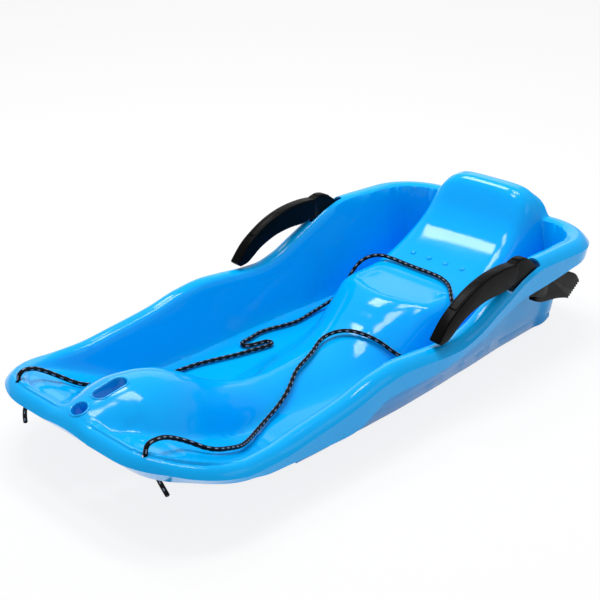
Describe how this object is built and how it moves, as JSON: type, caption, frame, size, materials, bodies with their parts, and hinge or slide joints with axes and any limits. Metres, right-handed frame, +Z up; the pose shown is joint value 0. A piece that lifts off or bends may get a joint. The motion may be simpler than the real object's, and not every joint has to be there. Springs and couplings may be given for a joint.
{
  "type": "plastic sled",
  "caption": "Moulded plastic snow sled with a raised seat and backrest, a nose hump, hand brakes hinged in the rim and a loose tow rope.",
  "frame": {"origin": "on the ground under the middle of the sled without its rope", "axes": "+X towards the nose, +Y to the rider's left, +Z up"},
  "size_m": [0.906, 0.42, 0.2019],
  "materials": {
    "hull_plastic": "gloss",
    "brake_plastic": "satin",
    "pin_steel": "brushed",
    "rope_braid": "braided"
  },
  "bodies": {
    "sled": {"hull": "hull_plastic", "brake_pin_left": "pin_steel", "brake_pin_right": "pin_steel", "tow_rope": "rope_braid", "rope_knot_left": "rope_braid", "rope_knot_right": "rope_braid"},
    "lever_left": {"brake_lever_left": "brake_plastic"},
    "lever_right": {"brake_lever_right": "brake_plastic"}
  },
  "joints": [
    {"name": "brake_left_hinge", "type": "hinge", "parent": "sled", "child": "lever_left", "pos_m": [-0.209, 0.196, 0.136], "axis": [0, -1, 0], "range_deg": [0, 36]},
    {"name": "brake_right_hinge", "type": "hinge", "parent": "sled", "child": "lever_right", "pos_m": [-0.209, -0.196, 0.136], "axis": [0, -1, 0], "range_deg": [0, 36]}
  ]
}
